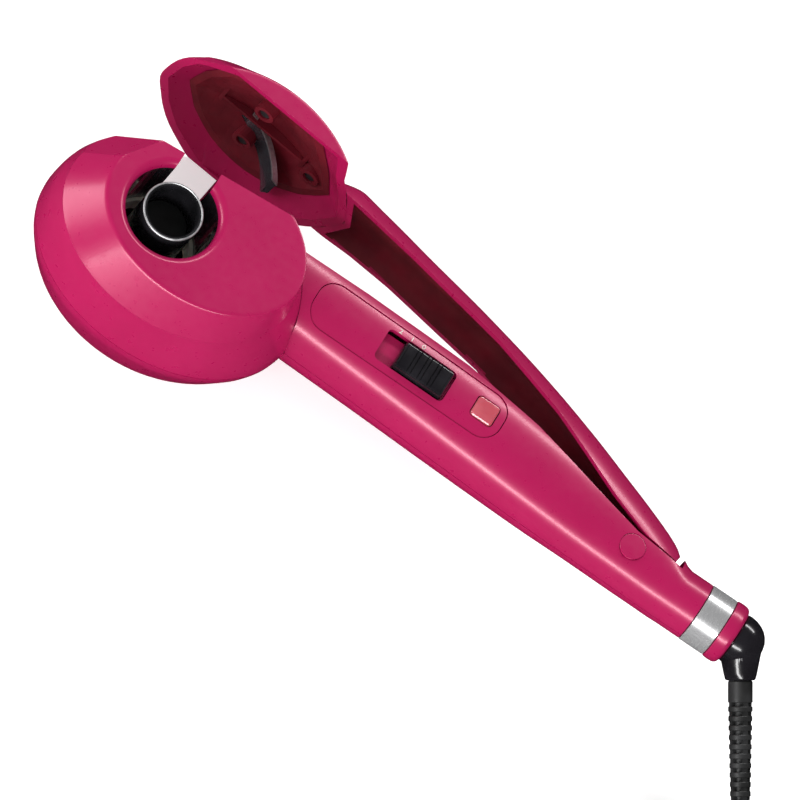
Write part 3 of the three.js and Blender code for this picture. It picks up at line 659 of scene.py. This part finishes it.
def arm_form(offset=0.0, count=96, stations=90):
    """The two arms shut: a superellipse that changes along X."""
    first, last = ARM_STATIONS[0][0], ARM_STATIONS[-1][0]
    rings = []
    for s in range(stations + 1):
        x = first + (last - first) * s / stations
        middle, reach, half, power = arm_section(x)
        rings.append([(x, middle + (reach + offset) * u, MID + (half + offset) * v)
                      for u, v in superellipse(count, power)])
    return loft(rings)


def below_parting(drop):
    """Everything under the lower half's edge."""
    edge = [(x, y - drop) for x, y in PARTING]
    return prism([(-60, -FAR), (FAR, -FAR), (FAR, FAR), (edge[-1][0], FAR), *reversed(edge)], -FAR, FAR)


def above_parting(lift):
    """Everything over the upper half's edge."""
    edge = [(x, y + lift) for x, y in UPPER_EDGE]
    return prism([*edge, (edge[-1][0] - 1.5, FAR), (-60, FAR)], -FAR, FAR)


def front_half():
    return box(-FAR, FAR, -FAR, FAR, MID + GAP / 2, FAR)


def back_half():
    return box(-FAR, FAR, -FAR, FAR, -FAR, MID - GAP / 2)


def slot_cut():
    return box(-SLOT_HALF, SLOT_HALF, BARREL_R - 3, 60, -1, DEPTH + 1)


def neck_passage():
    return turned_along([(7, 0), (7, 40)], Vector((35, 9, MID)), Vector((1, 0, 0)), 32)


# ---------- head ----------
def chamber_bore():
    """Bore whose mouths at both faces open out in a round lip."""
    lip = [(CHAMBER_R + 3.1, DEPTH + 1), (CHAMBER_R + 3.1, DEPTH), (CHAMBER_R + 1.9, DEPTH - 0.35),
           (CHAMBER_R + 0.9, DEPTH - 1.1), (CHAMBER_R + 0.3, DEPTH - 2), (CHAMBER_R, DEPTH - 3.2)]
    mirrored = [(r, DEPTH - z) for r, z in reversed(lip)]
    return turned([*mirrored, *reversed(lip)], 96)


def add_head_covers():
    outer = keep(head_form(), below_parting(GAP / 2))
    inner = keep(head_form(-WALL, 64), below_parting(WALL))
    land = [rod(20.8, 0, 5), rod(20.8, DEPTH - 6, DEPTH)]
    cut(inner, *land, box(-SLOT_HALF - 2, SLOT_HALF + 2, BARREL_R, FAR, -1, DEPTH + 1))
    shell = cut(outer, inner, slot_cut(), neck_passage(), chamber_bore(),
                rod(CHAMBER_R + 1.9, 3.2, DEPTH - 3.2), rod(*ROTOR_ROOM))
    back = keep(copy_of(shell), back_half())
    screws = [rod(SCREW_HOLE_R, -1, 1.6, place, 32) for place in CASING_SCREWS]
    cut(back, *screws)
    front = keep(shell, front_half())
    finish_piece(front, "head_cover_front", "lower_body", "casing_pink", ["head_front_cover"], bevel=0.25)
    finish_piece(back, "head_cover_back", "lower_body", "casing_pink", ["head_back_cover"], bevel=0.25)


def add_barrel():
    tube_wall = [(9.7, 7), (11, 7), (BARREL_R, 7.3), (BARREL_R, DEPTH - 2.2), (10.6, DEPTH - 2.2),
                 (10.6, DEPTH - 1.35), (10.3, DEPTH - 1.15), (9.95, DEPTH - 1.35), (9.7, DEPTH - 2.6), (9.7, 7)]
    finish_piece(turned(tube_wall), "barrel_tube", "lower_body", "ceramic_black", ["barrel"])
    rim = [(10.65, DEPTH - 2.1), (11.2, DEPTH - 2.1), (BARREL_R + 0.1, DEPTH - 1.9),
           (BARREL_R + 0.1, DEPTH - 1.2), (11.2, DEPTH - 1), (10.85, DEPTH - 1), (10.65, DEPTH - 1.2),
           (10.65, DEPTH - 2.1)]
    finish_piece(turned(rim), "barrel_rim_ring", "lower_body", "steel", ["barrel_rim"])
    disc = [(0, 58.2), (9.5, 58.2), (9.6, 58.4), (9.5, 58.9), (0, 58.9)]
    finish_piece(turned(disc), "barrel_inner_disc", "lower_body", "black_matte")


# ---------- lower arm ----------
def add_handle():
    body = cut(keep(arm_form(), below_parting(GAP / 2)), head_form(GAP, 96))
    hollow = cut(keep(arm_form(-WALL, 48, 40), below_parting(WALL + GAP)), head_form(WALL, 64),
                 box(232, FAR, -FAR, FAR, -FAR, FAR))
    lug_slot = box(196, 216.5, 0, FAR, MID - LUG_ROOM, MID + LUG_ROOM)
    centre = (PIVOT.x, PIVOT.y)
    bosses = cut(rod(4.6, MID - 12, MID + 12, centre), box(190, 220, -20, 30, MID - LUG_ROOM, MID + 8.6))
    keep(bosses, arm_form())
    shell = join(cut(body, hollow), bosses)
    tail_bore = turned_along([(5, 0), (5, 30)], Vector((225, TAIL_Y, MID)), Vector((1, 0, 0)), 48)
    cut(shell, lug_slot, rod(PIN_HOLE_R, MID - 10.6, MID + 10.9, centre),
        rod(5.05, MID + CAP_SEAT, FAR, centre), rod(5.1, -FAR, MID - CAP_SEAT, centre),
        tail_bore, neck_passage())
    back = keep(copy_of(shell), back_half())
    front = keep(shell, front_half())
    cut(front, prism(rounded(*PANEL, grow=GAP), MID + 8, FAR))
    finish_piece(front, "handle_front", "lower_body", "casing_pink", ["handle_front_shell"], bevel=0.2)
    finish_piece(back, "handle_back", "lower_body", "casing_pink", ["handle_back_shell"], bevel=0.2)


def add_panel():
    plate = keep(cut(arm_form(-PANEL_DROP), arm_form(-2.4, 48, 40)), prism(rounded(*PANEL), MID + 9, FAR))
    cut(plate, head_form(GAP, 96), prism(rounded(*SWITCH_WINDOW, grow=GAP), MID, FAR),
        prism(rounded(*LENS, grow=GAP), MID, FAR))
    finish_piece(plate, "control_fascia", "lower_body", "casing_pink", ["control_panel"], bevel=0.2)


def add_switch():
    (x0, x1), (y0, y1), radius = SWITCH_CAP
    low, top = MID + 13.2, MID + 18.4
    rings = []
    for z, inset in [(low, 0), (top - 2.2, 0), (top - 1.1, 0.25), (top - 0.4, 0.7), (top, 1.5)]:
        rings.append([(x, y, z) for x, y in rounded((x0, x1), (y0, y1), radius + 0.2, grow=-inset)])
    cap = loft(rings)
    groove = []
    for x in (x0 + 6.2, x0 + 10.6, x0 + 15):
        for side in (-0.75, 0.75):
            groove.append(box(x + side - 0.22, x + side + 0.22, y0 - 1, y1 + 1, top - 0.7, FAR))
    cut(cap, *groove)
    plate = box(87, 126, 8, 20, MID + 12.2, low - 0.02)
    finish_piece(plate, "switch_slide_plate", "switch_body", "casing_pink", bevel=0.2)
    finish_piece(cap, "switch_cap", "switch_body", "black_gloss", ["slide_switch_cap"])


def arm_surface(x, y, offset):
    """Height of the lower arm's front at a place."""
    middle, reach, half, power = arm_section(x)
    across = abs(y - middle) / (reach + offset)
    return MID + (half + offset) * (1 - min(across, 0.999) ** power) ** (1 / power)


def add_marks():
    """Numerals for the switch's three positions, printed on the panel."""
    for i, (digit, x) in enumerate(MARKS):
        data = bpy.data.curves.new(f"mark_{digit}", "FONT")
        data.body = digit
        data.size = MARK_SIZE
        data.align_x = "CENTER"
        data.resolution_u = 4
        text = bpy.data.objects.new(f"mark_{digit}", data)
        bpy.context.scene.collection.objects.link(text)
        bpy.context.view_layer.update()
        mesh = bpy.data.meshes.new_from_object(text.evaluated_get(bpy.context.evaluated_depsgraph_get()))
        bpy.data.objects.remove(text)
        mark = bpy.data.objects.new(f"mark_{digit}", mesh)
        bpy.context.scene.collection.objects.link(mark)
        for vertex in mesh.vertices:
            px, py = x + vertex.co.x, MARK_Y + vertex.co.y * 0.9
            vertex.co = (px, py, arm_surface(px, py, -PANEL_DROP) + 0.06)
        finish_piece(mark, f"position_mark_{i + 1}", "lower_body", "nylon")


def add_lens():
    rings = []
    for height, inset in [(11.6, 0), (15.4, 0), (15.9, 0.15), (16.25, 0.5), (16.4, 1.1)]:
        rings.append([(x, y, MID + height) for x, y in rounded(*LENS, grow=-inset)])
    finish_piece(loft(rings), "lamp_window", "lower_body", "lens_red", ["indicator_lens"])


def add_hinge_caps():
    for side, name in [(1, "front"), (-1, "back")]:
        face = MID + side * 12.65
        profile = [(0, MID + side * 11.5), (4.9, MID + side * 11.5), (4.95, face - side * 0.25),
                   (4.85, face - side * 0.08), (4.6, face), (0, face + side * 0.05)]
        cap = turned(profile)
        cap.data.transform(Matrix.Translation(PIVOT))
        finish_piece(cap, f"hinge_disc_{name}", "lower_body", "casing_pink", [f"hinge_cap_{name}"])


# ---------- upper arm and lid: made shut, then swung open ----------
def along_edge(table, x):
    """Height of a broken line at x."""
    for (x0, y0), (x1, y1) in zip(table, table[1:]):
        if x <= x1:
            break
    return y0 + (y1 - y0) * (x - x0) / (x1 - x0)


def inside_arm(point, offset):
    """Whether a point lies inside the shut arms' form, and off the upper half's rim."""
    middle, reach, half, power = arm_section(point.x)
    across = abs(point.y - middle) / (reach + offset)
    deep = abs(point.z - MID) / (half + offset)
    return across ** power + deep ** power < 1 and abs(point.y - along_edge(UPPER_EDGE, point.x)) > 0.5


def paint_channel_shade(obj, material):
    """Painted shade: a second, dark maroon material on the faces of the upper arm's channel, where the pink
    plastic lies in shade.
    """
    obj.data.materials.append(MATERIALS[material])
    back = (TO_ROW @ SWING).inverted()
    for face in obj.data.polygons:
        if inside_arm(back @ face.center, -1.6):
            face.material_index = 1


def add_lid():
    lid = cut(keep(head_form(), above_parting(GAP / 2)), head_form(-WALL, 96),
              keep(arm_form(GAP), box(52, FAR, -FAR, FAR, -FAR, FAR)))
    finish_piece(lid, "lid", "upper_body", "casing_pink", ["lid_shell"], bevel=0.3, swing=True)


def add_upper_arm():
    arm = cut(keep(arm_form(), above_parting(GAP / 2)), head_form(GAP, 96))
    hollow = cut(arm_form(-WALL, 64, 60), head_form(WALL, 64), box(221, FAR, -FAR, FAR, -FAR, FAR))
    lug_outline = [(PIVOT.x - LUG_R, 26)]
    for i in range(25):
        t = math.pi + math.pi * i / 24
        lug_outline.append((PIVOT.x + LUG_R * math.cos(t), PIVOT.y + LUG_R * math.sin(t)))
    lug_outline.append((PIVOT.x + LUG_R, 26))
    lug = keep(prism(lug_outline, MID - LUG_HALF, MID + LUG_HALF), arm_form(-0.5, 48, 60))
    shell = cut(join(cut(arm, hollow), lug), rod(PIN_HOLE_R, 0, DEPTH, (PIVOT.x, PIVOT.y)))
    finish_piece(shell, "upper_arm", "upper_body", "casing_pink", ["upper_arm_shell"], bevel=0.3, swing=True)
    # Painted shade: the channel inside the upper arm gets dark maroon in place of the shaded pink plastic
    paint_channel_shade(shell, "liner_maroon")


def guide_band(low, high, near, far):
    """Sheet on the hair guide's curve, from low to high across it and from near to far through it."""
    a, b, c = GUIDE_CURVE
    rings = []
    for k in range(33):
        t = k / 32
        point = (1 - t) ** 2 * a + 2 * t * (1 - t) * b + t * t * c
        tangent = (2 * (1 - t) * (b - a) + 2 * t * (c - b)).normalized()
        across = (Vector((0, 0, 1)) - tangent * tangent.z).normalized()
        through = across.cross(tangent)
        rings.append([point + w * across + d * through
                      for w, d in ((low, near), (high, near), (high, far), (low, far))])
    room = keep(head_form(-WALL - 2.1, 96), above_parting(1.2))
    return keep(loft(rings), room)


def add_hair_guide():
    """Curved sheet that leads hair into the slot, with a bright trim along both edges."""
    half = GUIDE_WIDTH / 2
    sheet = guide_band(-half, half, -0.8, 0.8)
    finish_piece(sheet, "hair_guide_sheet", "upper_body", "black_gloss", ["hair_guide"], swing=True)
    sheet.data.materials[0] = MATERIALS["dark_mirror"]
    trims = join(guide_band(-half - 0.9, -half - 0.05, -1, 1), guide_band(half + 0.05, half + 0.9, -1, 1))
    finish_piece(trims, "hair_guide_trims", "upper_body", "steel", ["guide_spring"], swing=True)


# ---------- tail and swivel ----------
def add_tail():
    band = [(7, 240.6), (TAIL_R - 0.1, 240.6), (TAIL_R + 0.1, 240.75), (TAIL_R + 0.15, 241.1),
            (TAIL_R + 0.15, 250.3), (TAIL_R + 0.1, 250.65), (TAIL_R - 0.1, 250.8), (7, 250.8), (7, 240.6)]
    finish_piece(turned_tail(band), "chrome_sleeve", "lower_body", "chrome", ["chrome_band"])
    collar = [(7.4, 251.1), (TAIL_R, 251.1), (TAIL_R + 0.3, 251.3), (TAIL_R + 0.4, 251.8),
              (TAIL_R + 0.5, 253.2), (TAIL_R + 0.4, 255), (TAIL_R + 0.1, 255.8), (TAIL_R - 0.4, 256.4),
              (TAIL_R - 1.1, 256.75), (7.4, 256.8), (7.4, 251.1)]
    finish_piece(turned_tail(collar), "tail_collar", "lower_body", "casing_pink", ["end_collar"])


def add_elbow():
    dome = [(0, 245), (2.9, 245), (2.9, 252), (7.1, 252), (7.1, ELBOW_BACK), (9.5, ELBOW_BACK),
            (9.75, 257.5), (9.8, 259), (9.5, 261.2), (8.8, 263.2), (7.7, 265.1), (6.2, 266.6), (4.3, 267.8),
            (2.2, 268.4), (0, 268.6)]
    outlet = turned_along([(0, 0), (8.4, 0), (7.6, 4), (6.7, 8.5), (6.1, 11.5), (5.6, 13.4), (5.2, 13.9),
                           (4.6, 14), (0, 14)], ELBOW, RELIEF_DIR)
    keep(outlet, box(ELBOW_BACK, FAR, -FAR, FAR, -FAR, FAR))
    elbow = join(turned_tail(dome), outlet)
    finish_piece(elbow, "elbow", "swivel_body", "black_gloss", ["swivel_elbow"], bevel=0.3)


def add_strain_relief():
    """Ringed sleeve: a tapered core with rings, joined by four webs along it."""
    plain = RELIEF_START + RELIEF_PLAIN
    pitch = (RELIEF_END - 0.3 - plain) / RELIEF_RINGS
    seat = RELIEF_START - 0.28
    profile = [(0, seat), (RELIEF_R - 0.4, seat), (RELIEF_R, RELIEF_START + 0.2), (RELIEF_R, plain - 0.2),
               (RELIEF_R - 0.2, plain)]
    for i in range(RELIEF_RINGS):
        start = plain + i * pitch
        outer = RELIEF_R - RELIEF_TAPER * (i + 0.5) / RELIEF_RINGS
        core = outer - 1.5
        profile += [(core, start + 0.02), (core, start + 0.4 * pitch), (outer - 0.25, start + 0.41 * pitch),
                    (outer, start + 0.5 * pitch), (outer, start + 0.92 * pitch),
                    (outer - 0.25, start + 0.99 * pitch)]
    end = plain + RELIEF_RINGS * pitch
    profile += [(LEAD_D / 2, end), (0, end)]
    sleeve = turned(profile, 48)
    webs = []
    for quarter in range(4):
        angle = math.radians(28 + 90 * quarter)
        out = (math.cos(angle), math.sin(angle))
        side = (math.cos(angle + math.pi / 2), math.sin(angle + math.pi / 2))
        rings = []
        for z, reach in ((plain - 1, 4.25), (RELIEF_END - 0.8, 3.15)):
            corners = ((-0.95, 1), (0.95, 1), (0.95, reach), (-0.95, reach))
            rings.append([(s * side[0] + r * out[0], s * side[1] + r * out[1], z) for s, r in corners])
        webs.append(loft(rings))
    join(sleeve, *webs)
    sleeve.data.transform(Matrix.Translation(ELBOW) @ turn_to(RELIEF_DIR))
    finish_piece(sleeve, "ringed_sleeve", "swivel_body", "lead_rubber", ["strain_relief"])


# ---------- floor and light ----------
def add_floor():
    size, drop = 4000, -0.02
    corners = [(-size, -size, drop), (size, -size, drop), (size, size, drop), (-size, size, drop)]
    floor = mesh_object("floor", corners, [(0, 1, 2, 3)])
    floor.data.transform(Matrix.Scale(MM, 4))
    material, nodes, links, bsdf = shader("floor_white", Roughness=0.8, Specular_IOR_Level=0.1,
                                          Emission_Color=(1, 1, 1, 1), Emission_Strength=0.35)
    tone = ramp(nodes, links, noise(nodes, links, 3), (0.3, (0.88, 0.88, 0.88)), (0.7, (0.9, 0.9, 0.9)))
    links.new(tone, bsdf.inputs["Base Color"])
    floor.data.materials.append(material)
    floor.visible_glossy = False


def area_light(name, place, aim, size, power):
    """Soft box; place and aim in device millimetres, size in metres."""
    data = bpy.data.lights.new(name, "AREA")
    data.shape = "RECTANGLE"
    data.size, data.size_y = size
    data.energy = power
    light = bpy.data.objects.new(name, data)
    direction = row(aim) - row(place)
    turn = direction.to_track_quat("-Z", "Y").to_matrix().to_4x4()
    light.matrix_world = Matrix.Translation(row(place)) @ turn
    bpy.context.scene.collection.objects.link(light)


def add_lights():
    """Plain studio: an even diffuse surround, two long strips and a side box for the gloss."""
    world = bpy.data.worlds.new("studio")
    bpy.context.scene.world = world
    world.use_nodes = True
    background = world.node_tree.nodes["Background"]
    background.inputs["Color"].default_value = (1, 1, 1, 1)
    background.inputs["Strength"].default_value = 0.66
    world.cycles_visibility.glossy = False
    area_light("belly_strip", (100, -900, 560), (105, 0, 40), (1.5, 0.16), 12)
    area_light("back_strip", (100, 820, 720), (105, 0, 40), (1.5, 0.14), 8)
    area_light("left_box", (-950, -200, 160), (0, 0, 40), (0.6, 0.5), 6)
    bpy.context.scene.view_settings.view_transform = "Standard"


# ---------- making ----------
add_camera()
MATERIALS = make_materials()
add_lead()
add_head_covers()
add_barrel()
add_handle()
add_panel()
add_switch()
add_marks()
add_lens()
add_hinge_caps()
add_lid()
add_upper_arm()
add_hair_guide()
add_tail()
add_elbow()
add_strain_relief()
add_floor()
add_lights()
